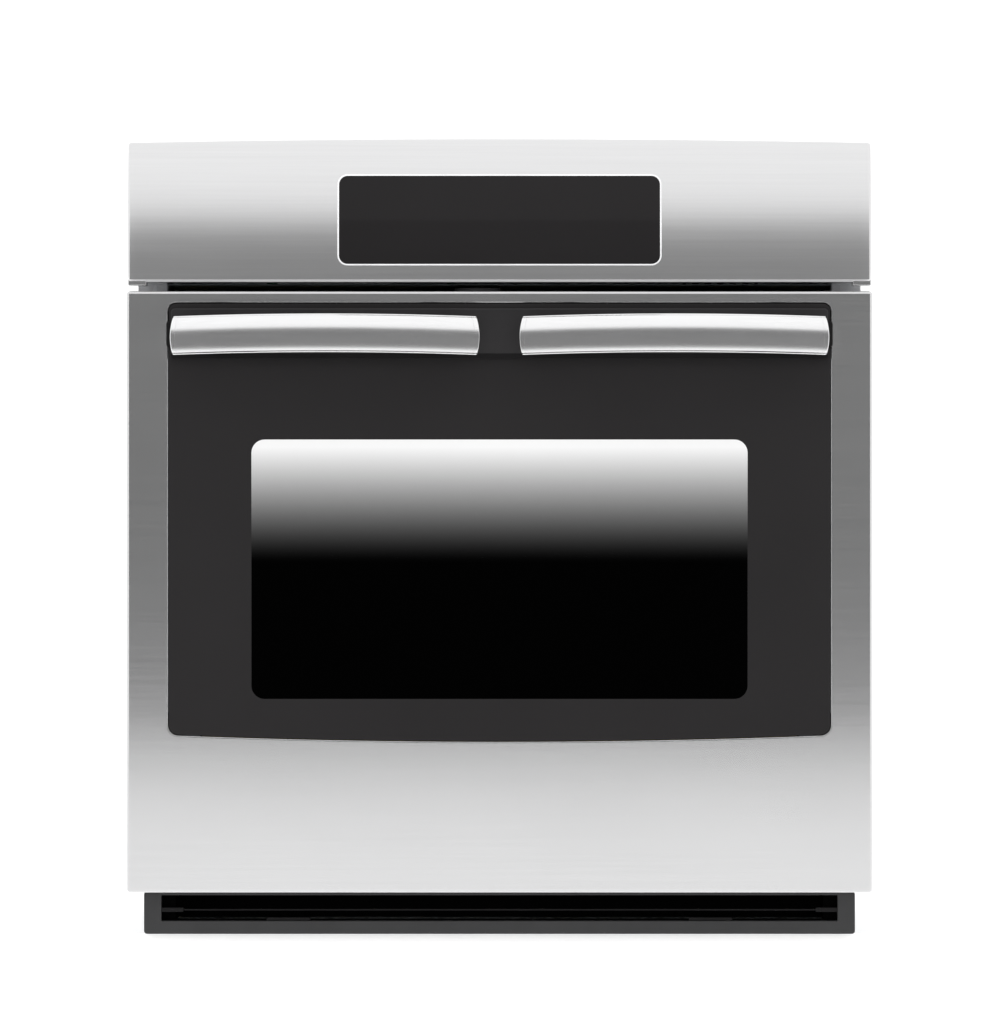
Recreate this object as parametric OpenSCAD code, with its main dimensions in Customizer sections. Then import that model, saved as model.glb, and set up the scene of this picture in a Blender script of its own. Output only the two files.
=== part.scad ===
// Built-in electric wall oven with a drop-down door, two racks and a touch control panel.
// +Z is up, the front faces -Y, and the origin is at the middle of the bounding box's foot.
// Depths (y) are written from the cabinet's face: negative towards the room, positive into the cabinet.

/* [Front] */
// width of the oven's front, across the door
front_w = 679.5; // [560:0.5:820]
// height of the oven's front, from the vent trim's foot to the control panel's crown
front_h = 727; // [600:0.5:880]
// height of the control panel at its ends
panel_h = 127.5; // [105:0.5:155]
// rise of the control panel's top edge from its ends to the middle
panel_crown = 3.5; // [2:0.5:8]
// how far the control panel leans back from its foot to its crown
panel_lean = 26; // [12:1:36]
// air gap between the control panel and the door
panel_gap = 8.5; // [5:0.5:14]
// height of the vent trim under the door
vent_h = 39; // [32:0.5:48]

/* [Case] */
// depth of the case behind the cabinet's face
case_depth = 587; // [480:1:710]
// how much wider the door is than the case
case_inset = 69.5; // [60:0.5:84]
// thickness of the insulation around the cavity
insulation = 30; // [24:0.5:32]
// thickness of the case's sheet steel
sheet = 1.2; // [0.8:0.1:1.6]

/* [Cavity] */
// height from the door's foot to the cavity's floor
floor_rise = 95.5; // [88:0.5:112]
// drop from the door's top to the cavity's ceiling
ceiling_drop = 52.5; // [50:0.5:62]
// number of rack positions
rack_levels = 6; // [4:1:8]
// rack position of the lower rack, counted from the floor
lower_level = 2; // [1:1:3]
// rack position of the upper rack
upper_level = 5; // [4:1:8]
// number of long wires in a rack's deck
deck_wires = 19; // [15:1:25]

/* [Door] */
// thickness of the door
door_t = 44; // [36:1:53]
// height of the door's steel below the glass, at the glass's lower corners
glass_foot = 144; // [100:1:180]
// width of the door's steel on each side of the glass
glass_side = 38.25; // [28:0.25:50]
// how far the glass's lower edge bows down in the middle
glass_sag = 6; // [3:0.5:12]
// width of the dark band on each side of the window
window_side = 75.5; // [60:0.5:95]
// height of the dark band above the window
window_top = 124; // [100:1:145]
// height of the dark band below the window
window_foot = 32.5; // [24:0.5:48]

/* [Handles] */
// reach of the grips in front of the cabinet's face
handle_reach = 116; // [96:1:140]
// height of a grip
grip_h = 35; // [28:1:42]
// depth of a grip
grip_t = 17; // [14:1:20]
// how far a grip bows out in the middle
grip_bow = 10; // [6:0.5:16]
// gap between the two grips
grip_gap = 36; // [24:1:60]

/* [Display] */
// width of the display glass
display_w = 293; // [220:1:360]
// height of the display glass
display_h = 81; // [60:1:90]

/* [Hidden] */
$fn = 72;
eps = 0.05;
// clearance between neighbouring sheet parts
fit = 0.3;

// the front, from the foot up
vent_gap = 0.5;
door_z0 = vent_h + vent_gap;
panel_z0 = front_h - panel_crown - panel_h;
door_z1 = panel_z0 - panel_gap;
door_h = door_z1 - door_z0;
panel_z1 = panel_z0 + panel_h;
panel_w = front_w - 1.5;

// depths from the cabinet's face
gasket_t = 8;
frame_y = -14;
door_back = frame_y - gasket_t;
door_front = door_back - door_t;
frame_back = frame_y + sheet;
gland_flange = 3;
cabinet_face_y = -(case_depth + gland_flange - handle_reach) / 2;

// the case
case_w = front_w - case_inset;
case_x = case_w / 2;
case_z0 = 12;
case_top_drop = 23.5;
case_z1 = panel_z1 - case_top_drop;
inner_x = case_x - sheet;
runner_w = 40;
runner_x = case_x - 75;
rail_out = front_w / 2 - 8.75;
rail_t = 1.5;
rail_flange = 26;
rail_z1 = case_z1 - 8;
bolt_x = rail_out - 6;
bolt_r = 2.75;
bolt_z = [door_z0 + 0.22 * door_h, door_z0 + 0.80 * door_h];
frame_x = case_x - 0.5;
frame_z0 = door_z0 + 1;
frame_z1 = door_z1 - 5.5;
rail_z0 = frame_z0 + 10;
shelf_z = panel_z0 - 2;

// the cavity
liner_t = 1.5;
wool_gap = 2.3;
cavity_x = inner_x - wool_gap - insulation - liner_t;
cavity_z0 = door_z0 + floor_rise;
cavity_z1 = door_z1 - ceiling_drop;
cavity_h = cavity_z1 - cavity_z0;
rear_space = 131;
cavity_back = case_depth - rear_space;
cavity_r = 25;
wool_z1 = cavity_z1 + liner_t + insulation;
wool_back = cavity_back + liner_t + insulation;

// racks and their wire guides
guide_r = 2.5;
upright_x = cavity_x - 4;
rung_x = cavity_x - 8;
side_rod_x = cavity_x - 11;
rod_r = 2.75;
wire_r = 1.6;
rod_lift = sqrt(pow(rod_r + guide_r + fit, 2) - pow(rung_x - side_rod_x, 2));
level_z0 = cavity_z0 + 0.1375 * cavity_h;
level_step = 0.6625 * cavity_h / (rack_levels - 1);
rack_y0 = 12;
rack_y1 = cavity_back - 18;
bar_drop = 4.45;
guard_h = 22;
guard_r = 2.35;

// heating elements
element_r = 3.25;
element_x0 = 25;
element_pitch = 45;
bake_z = cavity_z0 + 25;
broil_z = cavity_z1 - 25;
element_y0 = 34;
element_y1 = cavity_back - 56;

// lamp and temperature sensor in the cavity's back wall
lamp_x = 0.66 * cavity_x;
lamp_z = cavity_z1 - 52;
lamp_r = 24;
sensor_x = -lamp_x;
sensor_z = cavity_z1 - 40;
sensor_r = 2.5;

// control panel
panel_front = door_front + 4;
panel_r = (pow(panel_h + panel_crown, 2) + pow(panel_lean, 2)) / (2 * panel_lean);
crown_r = (pow(panel_w / 2, 2) + pow(panel_crown, 2)) / (2 * panel_crown);
display_z = panel_z0 + 0.445 * panel_h;
display_corner = 8;
display_trim_w = 1.3;
cap_w = 17;

// door
glass_x = front_w / 2 - glass_side;
glass_z0 = door_z0 + glass_foot;
glass_z1 = door_z1 - 11.2;
glass_t = 4;
glass_y = door_front + 0.4;
glass_top_r = 7;
glass_foot_r = 9;
sag_r = (pow(glass_x, 2) + pow(glass_sag, 2)) / (2 * glass_sag);
window_w = 2 * (glass_x - window_side);
window_z0 = glass_z0 + window_foot;
window_z1 = glass_z1 - window_top;
window_h = window_z1 - window_z0;
window_z = (window_z0 + window_z1) / 2;
window_r = 12;
liner_x = front_w / 2 - 3.75;
liner_z0 = door_z0 + 3.5;
liner_z1 = door_z1 - 3;
plug_t = 5;
plug_inset = 8;

// door hinges
hinge_y = door_back - 4;
hinge_z = door_z0 + 6.5;
hinge_x = case_x - 25;
pin_r = 2.5;
pin_clearance = 0.05;
eye_r = 5.5;
arm_t = 4;
channel_w = 12;
channel_top = door_z0 + 0.475 * door_h;

// handles
grip_len = glass_x - grip_gap / 2 - 2.2;
grip_z = glass_z1 - 28;
grip_mid_x = (glass_x - 2.2 + grip_gap / 2) / 2;
grip_r = (pow(grip_len / 2, 2) + pow(grip_bow, 2)) / (2 * grip_bow);
grip_cap_w = 7;
grip_angle = 2 * asin((grip_len / 2 - grip_cap_w) / grip_r);
post_dx = 0.34 * grip_len;
post_r = 8;
rail_depth = 3.6;
handle_rail_h = 46;
handle_rail_z0 = grip_z - 22.5;

// door latch
latch_x = -20;
latch_y = 14;
latch_z = wool_z1 + 4.5;
hook_t = 3;
hook_r0 = 40;
hook_r1 = 46;
motor_plate_x = 34;

// cooling blower
blower_y = 0.68 * case_depth;
blower_z = shelf_z + 51;
wheel_r = 34;
wheel_x = 0.16 * case_w;
scroll_r = 42;
shaft_r = 3;
blades = 24;

// lamp switch
switch_x = 0.39 * case_w;
switch_h = 12;
switch_back = 22;
switch_z = frame_z1 - sheet - fit - switch_h / 2;
plunger_r = 3;

// supply terminals and conduit entry
supply_x = 0.35 * case_w;
supply_z = shelf_z + 46;
conduit_r = 11.1;
gland_r = conduit_r + 3;
gland_rim_r = conduit_r + 7;

// which node to draw

// colours
stainless = [0.74, 0.74, 0.75];
galvanised = [0.62, 0.64, 0.66];
enamel = [0.13, 0.14, 0.17];
black = [0.05, 0.05, 0.06];
trim_grey = [0.26, 0.26, 0.27];
chrome = [0.85, 0.86, 0.88];
wool = [0.86, 0.80, 0.55];
glass = [0.55, 0.65, 0.68, 0.35];
board_green = [0.08, 0.32, 0.18];

// ---------- helpers ----------

// places a piece whose depths are written from the cabinet's face
module in_oven() translate([0, cabinet_face_y, 0]) children();

// a box between two corners
module block(from, to) translate(from) cube(to - from);

// a piece and its mirror image on the oven's other side
module both_sides() {
    children();
    mirror([1, 0, 0]) children();
}

// turns an outline drawn in x and z into a plate between two depths
module upright(y0, y1) translate([0, y1, 0]) rotate([90, 0, 0]) linear_extrude(y1 - y0) children();

// turns an outline drawn in y and z into a bar between two widths
module across(x0, x1) translate([x0, 0, 0]) rotate([90, 0, 90]) linear_extrude(x1 - x0) children();

// round rods along each axis, from a point
module rod_x(at, length, r) translate(at) rotate([0, 90, 0]) cylinder(h = length, r = r);
module rod_y(at, length, r) translate(at) rotate([-90, 0, 0]) cylinder(h = length, r = r);
module rod_z(at, length, r) translate(at) cylinder(h = length, r = r);

// a centred rectangle with round corners
module rounded(w, h, r) {
    square([w, h - 2 * r], center = true);
    square([w - 2 * r, h], center = true);
    for (x = [-1, 1], z = [-1, 1]) translate([x * (w / 2 - r), z * (h / 2 - r)]) circle(r);
}

// the same, between two heights
module rounded_between(w, z0, z1, r) translate([0, (z0 + z1) / 2]) rounded(w, z1 - z0, r);

// a low round screw head with a square drive, its foot at the origin and pointing up
module screw_head(r = 4, h = 1.8) {
    difference() {
        cylinder(h = h, r = r);
        translate([-r / 4, -r / 4, h / 2]) cube([r / 2, r / 2, h]);
    }
}

// turns an upward screw to point out of the right-hand side, or out of the back
module facing_out() rotate([0, 90, 0]) children();
module facing_back() rotate([-90, 0, 0]) children();

// ---------- case ----------

module case_base() color(galvanised) in_oven() {
    lip = 14;
    slot = [36, 4];
    difference() {
        block([-inner_x, 0, case_z0], [inner_x, case_depth - sheet, case_z0 + sheet]);
        for (i = [-3:3], y = [0.26, 0.53] * case_depth)
            translate([60 * i - slot.x / 2, y, case_z0 - 1]) cube([slot.x, slot.y, 2 * sheet + 1]);
    }
    both_sides() block([inner_x - sheet, sheet, case_z0 + sheet],
        [inner_x, case_depth - 2 * sheet, case_z0 + lip]);
}

module side_panel() {
    slots = 14;
    slot = [4, 46];
    pitch = 3 * slot.x;
    difference() {
        block([inner_x, 0, case_z0], [case_x, case_depth - sheet, case_z1 - sheet]);
        for (i = [0:slots - 1]) translate([inner_x - 1, 0.55 * case_depth + i * pitch, case_z1 - 78])
            cube([sheet + 2, slot.x, slot.y]);
    }
}

module left_side_panel() color(galvanised) in_oven() mirror([1, 0, 0]) side_panel();

module right_side_panel() color(galvanised) in_oven() side_panel();

module top_cover() color(galvanised) in_oven() {
    rib = [0.8 * case_w, 16, 4];
    slots = 12;
    slot = [5, 70];
    pitch = 14;
    difference() {
        block([-case_x, 0, case_z1 - sheet], [case_x, case_depth - sheet, case_z1]);
        for (i = [0:slots - 1])
            translate([-0.36 * case_w + i * pitch, 0.72 * case_depth, case_z1 - sheet - 1])
                cube([slot.x, slot.y, sheet + 2]);
    }
    for (y = [0.22, 0.5] * case_depth) translate([-rib.x / 2, y, case_z1]) cube(rib);
}

module rear_cover() color(galvanised) in_oven() difference() {
    slots = 10;
    slot = [6, 45];
    pitch = 22;
    block([-case_x, case_depth - sheet, case_z0], [case_x, case_depth, case_z1]);
    for (i = [0:slots - 1], z = [60, 130])
        translate([-0.33 * case_w + i * pitch, case_depth - sheet - 1, case_z0 + z])
            cube([slot.x, sheet + 2, slot.y]);
    rod_y([supply_x, case_depth - 2 * sheet, supply_z], 4 * sheet, gland_r + 0.2);
}

module base_runners() color(galvanised) in_oven() both_sides() difference() {
    inset = 20;
    wall = 2;
    translate([runner_x, 0, 0]) block([-runner_w / 2, inset, 0], [runner_w / 2, case_depth - inset, case_z0]);
    translate([runner_x, 0, wall])
        block([wall - runner_w / 2, inset - 1, 0], [runner_w / 2 - wall, case_depth - inset + 1, case_z0]);
}

module mounting_rails() color(galvanised) in_oven() both_sides() difference() {
    union() {
        block([case_x, -rail_t, rail_z0], [rail_out, 0, rail_z1]);
        block([case_x, 0, rail_z0], [case_x + rail_t, rail_flange, rail_z1]);
    }
    for (z = bolt_z) rod_y([bolt_x, -2 * rail_t, z], 3 * rail_t, bolt_r);
}

// the enamelled frame round the cavity's mouth, with its rim turned back to the case
module front_frame() color(enamel) in_oven() difference() {
    union() {
        upright(frame_y, frame_back) difference() {
            rounded_between(2 * frame_x, frame_z0, frame_z1, 4);
            cavity_outline(0);
        }
        upright(frame_back, 0) difference() {
            rounded_between(2 * frame_x, frame_z0, frame_z1, 4);
            rounded_between(2 * (frame_x - sheet), frame_z0 + sheet, frame_z1 - sheet, 3);
        }
    }
    at_hinges() block([-arm_t, frame_y - 1, frame_z0 - 1], [arm_t, 1, hinge_z + eye_r + 2]);
    latch_slot([24, 42], frame_y - 1, frame_back + 1);
    block([latch_x - motor_plate_x - 1, frame_back + sheet, frame_z1 - 2 * sheet],
        [latch_x + motor_plate_x + 1, 1, frame_z1 + 1]);
    rod_y([switch_x, frame_y - 1, switch_z], 3 * sheet, plunger_r + 1);
}

// ---------- cavity ----------

// the cavity's section, drawn in x and z
module cavity_outline(grow, r = cavity_r)
    rounded_between(2 * (cavity_x + grow), cavity_z0 - grow, cavity_z1 + grow, r);

module cavity_liner() color(enamel) in_oven() difference() {
    upright(frame_back, cavity_back + liner_t) cavity_outline(liner_t, cavity_r + liner_t);
    upright(frame_back - 1, cavity_back) cavity_outline(0);
    back_wall_holes(0);
}

// the holes in the cavity's back wall and in the wool behind it
module back_wall_holes(extra) {
    depth = insulation + 4 * liner_t;
    rod_y([lamp_x, cavity_back - 1, lamp_z], depth, lamp_r + 1 + extra);
    rod_y([sensor_x, cavity_back - 1, sensor_z], depth, sensor_r + 1 + extra);
    both_sides() for (z = [bake_z, broil_z])
        rod_y([element_x0, cavity_back - 1, z], depth, element_r + 0.6 + extra);
}

module cavity_insulation() color(wool) in_oven() difference() {
    wall = liner_t + fit;
    upright(3, wool_back) cavity_outline(liner_t + insulation, 34);
    upright(2, cavity_back + wall) cavity_outline(wall, cavity_r + wall);
    back_wall_holes(5);
    block([switch_x - 12, 2, switch_z - 0.8 * switch_h], [switch_x + 12, switch_back + 2, wool_z1 + 1]);
}

module door_gasket() color(black) in_oven() upright(door_back + 0.3, frame_y) difference() {
    gap = 12;
    rope = 10;
    cavity_outline(gap + rope, cavity_r + gap);
    cavity_outline(gap, cavity_r + gap - rope);
}

// a U-bend or quarter bend of the element's tube, in a level plane
module tube_bend(at, r, from, angle) translate(at)
    rotate_extrude(angle = angle, start = from) translate([r, 0]) circle(element_r);

// half of a serpentine element: its runs step outwards and its last run turns along the front
module element_half(runs, z) {
    bend = element_pitch / 2;
    last_x = element_x0 + (runs - 1) * element_pitch;
    front = element_y0 + element_pitch;
    for (i = [0:runs - 1]) {
        x = element_x0 + i * element_pitch;
        y_far = i == 0 ? wool_back - 2 : element_y1;
        y_near = i == runs - 1 ? element_y0 + bend : front;
        rod_y([x, y_near, z], y_far - y_near, element_r);
        if (i < runs - 1)
            tube_bend([x + bend, i % 2 == 0 ? front : element_y1, z], bend, i % 2 == 0 ? 180 : 0, 180);
    }
    tube_bend([last_x - bend, element_y0 + bend, z], bend, 270, 90);
    rod_x([0, element_y0, z], last_x - bend, element_r);
}

// the element's feet or hangers, which hold it off the cavity's wall
module element_stands(z, wall_z) {
    wide = 10;
    thick = 2;
    low = min(z, wall_z);
    high = max(z, wall_z);
    for (y = [0.2, 0.75] * cavity_back) translate([element_x0 + element_pitch - thick / 2, y, low])
        cube([thick, wide, high - low]);
    translate([element_x0 + 3.5 * element_pitch, element_y0 - thick / 2, low])
        cube([wide, thick, high - low]);
}

module heating_element(z, wall_z) both_sides() {
    element_half(5, z);
    element_stands(z, wall_z);
}

module bake_element() color(black) in_oven() heating_element(bake_z, cavity_z0);

module broil_element() color(black) in_oven() heating_element(broil_z, cavity_z1);

module lamp_housing() color(galvanised) in_oven() {
    back = wool_back + 4;
    difference() {
        rod_y([lamp_x, cavity_back + liner_t, lamp_z], back - cavity_back - liner_t, lamp_r + 3);
        rod_y([lamp_x, cavity_back, lamp_z], back - cavity_back - 3, lamp_r);
    }
}

module lamp_bulb() color(glass) in_oven() {
    base = wool_back + 1;
    rod_y([lamp_x, cavity_back + 4, lamp_z], base - cavity_back - 4, 6);
    translate([lamp_x, cavity_back + 4, lamp_z]) sphere(9);
}

module lamp_cover() color(glass) in_oven() difference() {
    union() {
        rod_y([lamp_x, cavity_back - 3, lamp_z], 3, lamp_r + 5);
        rod_y([lamp_x, cavity_back - 14, lamp_z], 11, lamp_r);
    }
    rod_y([lamp_x, cavity_back - 11, lamp_z], 12, lamp_r - 3);
}

module temperature_sensor() color(chrome) in_oven() {
    probe = 90;
    rod_y([sensor_x, cavity_back - probe, sensor_z], probe + insulation, sensor_r);
    difference() {
        block([sensor_x - 16, cavity_back - 1, sensor_z - 9], [sensor_x + 16, cavity_back, sensor_z + 9]);
        for (s = [-1, 1]) rod_y([sensor_x + 11 * s, cavity_back - 2, sensor_z], 3, 2);
    }
}

// ---------- racks ----------

function level_z(n) = level_z0 + (n - 1) * level_step;

// one side's wire ladder: uprights against the wall with a rung at each rack position
module rack_guides() color(chrome) in_oven() both_sides() {
    foot = level_z(1) - 22;
    head = level_z(rack_levels) + 22;
    for (y = [30, 0.5 * cavity_back, cavity_back - 30]) {
        rod_z([upright_x, y, foot], head - foot, guide_r);
        for (z = [foot + 8, head - 8]) rod_x([upright_x, y, z], cavity_x - upright_x, wire_r);
    }
    for (n = [1:rack_levels]) rod_y([rung_x, 16, level_z(n)], cavity_back - 32, guide_r);
}

// a wire rack at one position: side rods, cross bars, deck wires and a raised guard at the back
module rack(level) {
    weld = 0.5;
    z = level_z(level) + rod_lift;
    bar_z = z - bar_drop;
    bar_x = side_rod_x - 7;
    deck_x = side_rod_x - 20;
    pitch = 2 * deck_x / (deck_wires - 1);
    length = rack_y1 - rack_y0;
    both_sides() rod_y([side_rod_x, rack_y0, z], length, rod_r);
    for (y = [rack_y0 + 8, (rack_y0 + rack_y1) / 2, rack_y1 - 8]) {
        rod_x([-bar_x, y, bar_z], 2 * bar_x, rod_r);
        both_sides() block([bar_x - 2, y - 1.5, bar_z], [side_rod_x - 1, y + 1.5, z]);
    }
    for (i = [0:deck_wires - 1])
        rod_y([-deck_x + i * pitch, rack_y0 + 4, bar_z + rod_r + wire_r - weld], length - 8, wire_r);
    rack_guard(deck_x - 8, bar_z + rod_r + eps);
}

// the raised rail along a rack's back that keeps pans from sliding off
module rack_guard(x, foot) {
    both_sides() rod_z([x, rack_y1 - 8, foot], guard_h, guard_r);
    rod_x([-x - 4, rack_y1 - 8, foot + guard_h], 2 * x + 8, rod_r);
}

module upper_rack() color(chrome) in_oven() rack(upper_level);

module lower_rack() color(chrome) in_oven() rack(lower_level);

// ---------- vent trim ----------

vent_x = front_w / 2 - 14.25;
vent_open_x = vent_x - 16;
vent_sill = 12;
vent_head = 3.5;
vent_y = -16;

// the trim round the air outlet, with a shallow duct behind its opening
module vent_trim() color(trim_grey) in_oven() {
    duct_x = case_x - 7;
    duct_y = 40;
    duct_z0 = case_z0 + sheet + fit;
    duct_z1 = vent_h - 0.5;
    upright(vent_y, 0) difference() {
        rounded_between(2 * vent_x, 0, vent_h, 3);
        translate([-vent_open_x, vent_sill]) square([2 * vent_open_x, vent_h - vent_sill - vent_head]);
    }
    both_sides() {
        block([duct_x - sheet, -sheet, duct_z0], [vent_open_x + 1, 0, duct_z1]);
        block([duct_x - sheet, -sheet, duct_z0], [duct_x, duct_y, duct_z1]);
    }
    block([-duct_x, duct_y - sheet, duct_z0], [duct_x, duct_y, duct_z1]);
}

module vent_blade() color(trim_grey) in_oven() {
    z = vent_sill + 0.43 * (vent_h - vent_sill - vent_head);
    blade_t = 1.4;
    tab = [20, 4];
    clip = [40, 3];
    clip_x = 0.56 * vent_open_x;
    back = -sheet - fit;
    block([-vent_open_x, vent_y + 2, z - blade_t / 2], [vent_open_x, back, z + blade_t / 2]);
    both_sides() {
        block([vent_open_x - tab.x, vent_y + 1, z - tab.y / 2], [vent_open_x, back, z + tab.y / 2]);
        block([clip_x, vent_y + 3, vent_sill], [clip_x + clip.x, back, vent_sill + clip.y]);
    }
}

// ---------- control panel ----------

// the panel's section, which curves back from an upright foot, drawn in y and z
module panel_section(grow, z0, z1) intersection() {
    translate([panel_front + panel_r, panel_z0]) circle(panel_r + grow, $fn = 360);
    translate([panel_front - 5, z0]) square([frame_y - panel_front + 5, z1 - z0]);
}

// the panel's solid shape under its crowned top edge, thinner by a skin's thickness where asked
module panel_solid(skin, x) intersection() {
    across(-x, x) panel_section(-skin, panel_z0 + skin, panel_z1 + 2 * panel_crown);
    translate([0, frame_y + 1, panel_z1 + panel_crown - crown_r]) rotate([90, 0, 0])
        cylinder(h = 80, r = crown_r - skin, $fn = 720);
}

// an upright prism through the panel around the display
module display_prism(grow) upright(panel_front - 5, panel_front + 45)
    translate([0, display_z]) rounded(display_w + 2 * grow, display_h + 2 * grow, display_corner + grow);

module control_fascia() color(stainless) in_oven() difference() {
    panel_solid(0, panel_w / 2);
    panel_solid(sheet, panel_w / 2 + 1);
    display_prism(display_trim_w + 0.1);
    both_sides() block([panel_w / 2 - cap_w - 1, panel_front + sheet + fit, panel_z0 - 1],
        [panel_w / 2 + 1, frame_y + 1, panel_z0 + sheet + eps]);
    block([-panel_w, frame_y - eps, panel_z0 - 1], [panel_w, frame_y + 5, front_h + 1]);
}

module panel_end_caps() color(trim_grey) in_oven() both_sides() {
    lip = 3.2;
    inside = sheet + fit;
    across(panel_w / 2 - cap_w, panel_w / 2 - 0.4) {
        panel_section(-inside, panel_z0 - eps, panel_z1 - inside);
        translate([panel_front + inside, panel_z0 - lip]) square([frame_y - panel_front - inside, lip]);
    }
}

// a curved slice of the panel's section between two depths below its face
module panel_slice(above, below) difference() {
    across(-display_w, display_w) panel_section(above, panel_z0, panel_z1);
    across(-display_w - 1, display_w + 1) translate([panel_front + panel_r, panel_z0])
        circle(panel_r - below, $fn = 360);
}

module display_glass() color(black) in_oven() intersection() {
    panel_slice(0.8, 2.2);
    display_prism(0);
}

module display_trim() color(chrome) in_oven() difference() {
    intersection() {
        panel_slice(0.5, 2.6);
        display_prism(display_trim_w);
    }
    display_prism(0.1);
}

module display_board() color(board_green) in_oven() {
    front = panel_front + panel_lean - 6;
    back = front + 8;
    block([-0.46 * display_w, front, display_z - 0.44 * display_h],
        [0.46 * display_w, back, display_z + 0.44 * display_h]);
    both_sides() for (s = [-0.34, 0.34])
        rod_y([0.4 * display_w, back - 1, display_z + s * display_h], frame_y - back + 1, 4);
}

// the steel plate that closes the control panel's back
module panel_backplate() color(galvanised) in_oven() difference() {
    foot = panel_z0 + sheet + 0.4;
    head = panel_z1 - 5.5;
    union() {
        upright(frame_y, frame_back) rounded_between(panel_w - 8, foot, head, 3);
        upright(frame_back, 0) difference() {
            rounded_between(2 * frame_x, foot, head, 3);
            rounded_between(2 * (frame_x - sheet), foot + sheet, head - sheet, 2);
        }
    }
    block([-40, frame_y - 1, display_z - 15], [40, frame_back + 1, display_z + 15]);
}

// ---------- control compartment ----------

module compartment_floor() color(galvanised) in_oven() difference() {
    block([-inner_x, 2, shelf_z], [inner_x, case_depth - sheet, shelf_z + sheet]);
    block([-wheel_x, blower_y - scroll_r + 4, shelf_z - 1], [wheel_x, blower_y - 4, shelf_z + 2 * sheet]);
}

module relay_board() color(board_green) in_oven() {
    x0 = -0.36 * case_w;
    y0 = 0.12 * case_depth;
    w = 0.3 * case_w;
    d = 0.3 * case_depth;
    foot = 8;
    board_t = 1.6;
    relay = [0.16 * w, 0.2 * d, 16];
    z = shelf_z + sheet + foot;
    block([x0, y0, z], [x0 + w, y0 + d, z + board_t]);
    for (x = [x0 + foot, x0 + w - foot], y = [y0 + foot, y0 + d - foot])
        rod_z([x, y, shelf_z + sheet], foot + 0.5, 3.5);
    for (i = [0:3], row = [0, 1])
        translate([x0 + (0.1 + 0.23 * i) * w, y0 + (0.11 + 0.3 * row) * d, z + board_t - 0.1]) cube(relay);
    translate([x0 + 0.25 * w, y0 + 0.72 * d, z + board_t - 0.1]) cube([0.4 * w, 0.2 * d, 26]);
}

// the blower's scroll, open above at its inlet and below into the air space over the cavity
module blower_housing() color(galvanised) in_oven() {
    wall = 1.5;
    end_x = wheel_x + 5;
    chute_y = blower_y - scroll_r + 6;
    chute_w = 34;
    foot = shelf_z + sheet;
    across(-end_x, end_x) difference() {
        union() {
            translate([blower_y, blower_z]) circle(scroll_r);
            translate([chute_y, foot]) square([chute_w, blower_z - foot]);
        }
        translate([blower_y, blower_z]) circle(scroll_r - wall);
        translate([chute_y + wall, foot - 1]) square([chute_w - 2 * wall, blower_z - foot]);
        translate([blower_y, blower_z]) square(scroll_r + 1);
    }
    both_sides() across(end_x, end_x + wall) difference() {
        union() {
            translate([blower_y, blower_z]) circle(scroll_r);
            translate([chute_y, foot]) square([2 * scroll_r - 12, 30]);
        }
        translate([blower_y, blower_z]) circle(shaft_r + pin_clearance);
    }
}

module blower_wheel() color(trim_grey) in_oven() {
    blade_l = 7;
    for (x = [-wheel_x, -1.5, wheel_x - 3]) rod_x([x, blower_y, blower_z], 3, wheel_r - 1);
    for (i = [0:blades - 1]) translate([-wheel_x + 1, blower_y, blower_z]) rotate([i * 360 / blades, 0, 0])
        translate([0, -0.5, wheel_r - blade_l]) rotate([12, 0, 0]) cube([2 * wheel_x - 2, 1, blade_l - 1]);
    rod_x([-wheel_x - 6.5, blower_y, blower_z], 2 * wheel_x + 32, shaft_r);
}

module blower_motor() color(trim_grey) in_oven() {
    x0 = wheel_x + 10;
    difference() {
        union() {
            rod_x([x0, blower_y, blower_z], 34, 20);
            block([x0 + 8, blower_y - 28, blower_z - 24], [x0 + 26, blower_y + 28, blower_z + 24]);
        }
        rod_x([x0 - 1, blower_y, blower_z], 20, shaft_r + pin_clearance);
    }
    for (a = [45:90:315]) rod_x([wheel_x + 6.5, blower_y + 15 * cos(a), blower_z + 15 * sin(a)], 5, 2.5);
}

module thermal_cutout() color(black) in_oven() {
    at = [0.14 * case_w, 0.5 * case_depth, wool_z1];
    rod_z(at, 4, 12);
    rod_z(at + [0, 0, 3.5], 7, 8);
}

module terminal_block() color(black) in_oven() {
    size = [72, 26, 20];
    pole = 24;
    bay = 18;
    bay_z = 8;
    translate([supply_x, case_depth - 70, shelf_z + sheet]) {
        difference() {
            translate([-size.x / 2, 0, 0]) cube(size);
            for (i = [-1:1]) translate([pole * i - bay / 2, -1, bay_z]) cube([bay, size.y + 2, size.z]);
        }
        for (i = [-1:1]) rod_z([pole * i, size.y / 2, bay_z - 0.5], 8, 3);
    }
}

// the conduit entry's bushing in the rear cover
module conduit_gland() color(galvanised) in_oven() {
    difference() {
        union() {
            rod_y([supply_x, case_depth - 16, supply_z], 17, gland_r);
            rod_y([supply_x, case_depth, supply_z], gland_flange, gland_rim_r);
            rod_y([supply_x, case_depth - sheet - 5, supply_z], 5, gland_rim_r);
        }
        rod_y([supply_x, case_depth - 17, supply_z], 24, conduit_r);
    }
}

// ---------- door latch and lamp switch ----------

// turns the latch's own plan, with its shaft at the origin, to its place
module at_latch(z) translate([latch_x, latch_y, z]) children();

// the slot that the hook comes through, across part of its swing and between two depths
module latch_slot(reach, y0, y1) {
    room = 2.5;
    block([latch_x + reach[0], y0, latch_z - room], [latch_x + reach[1], y1, latch_z + hook_t + room]);
}

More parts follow.
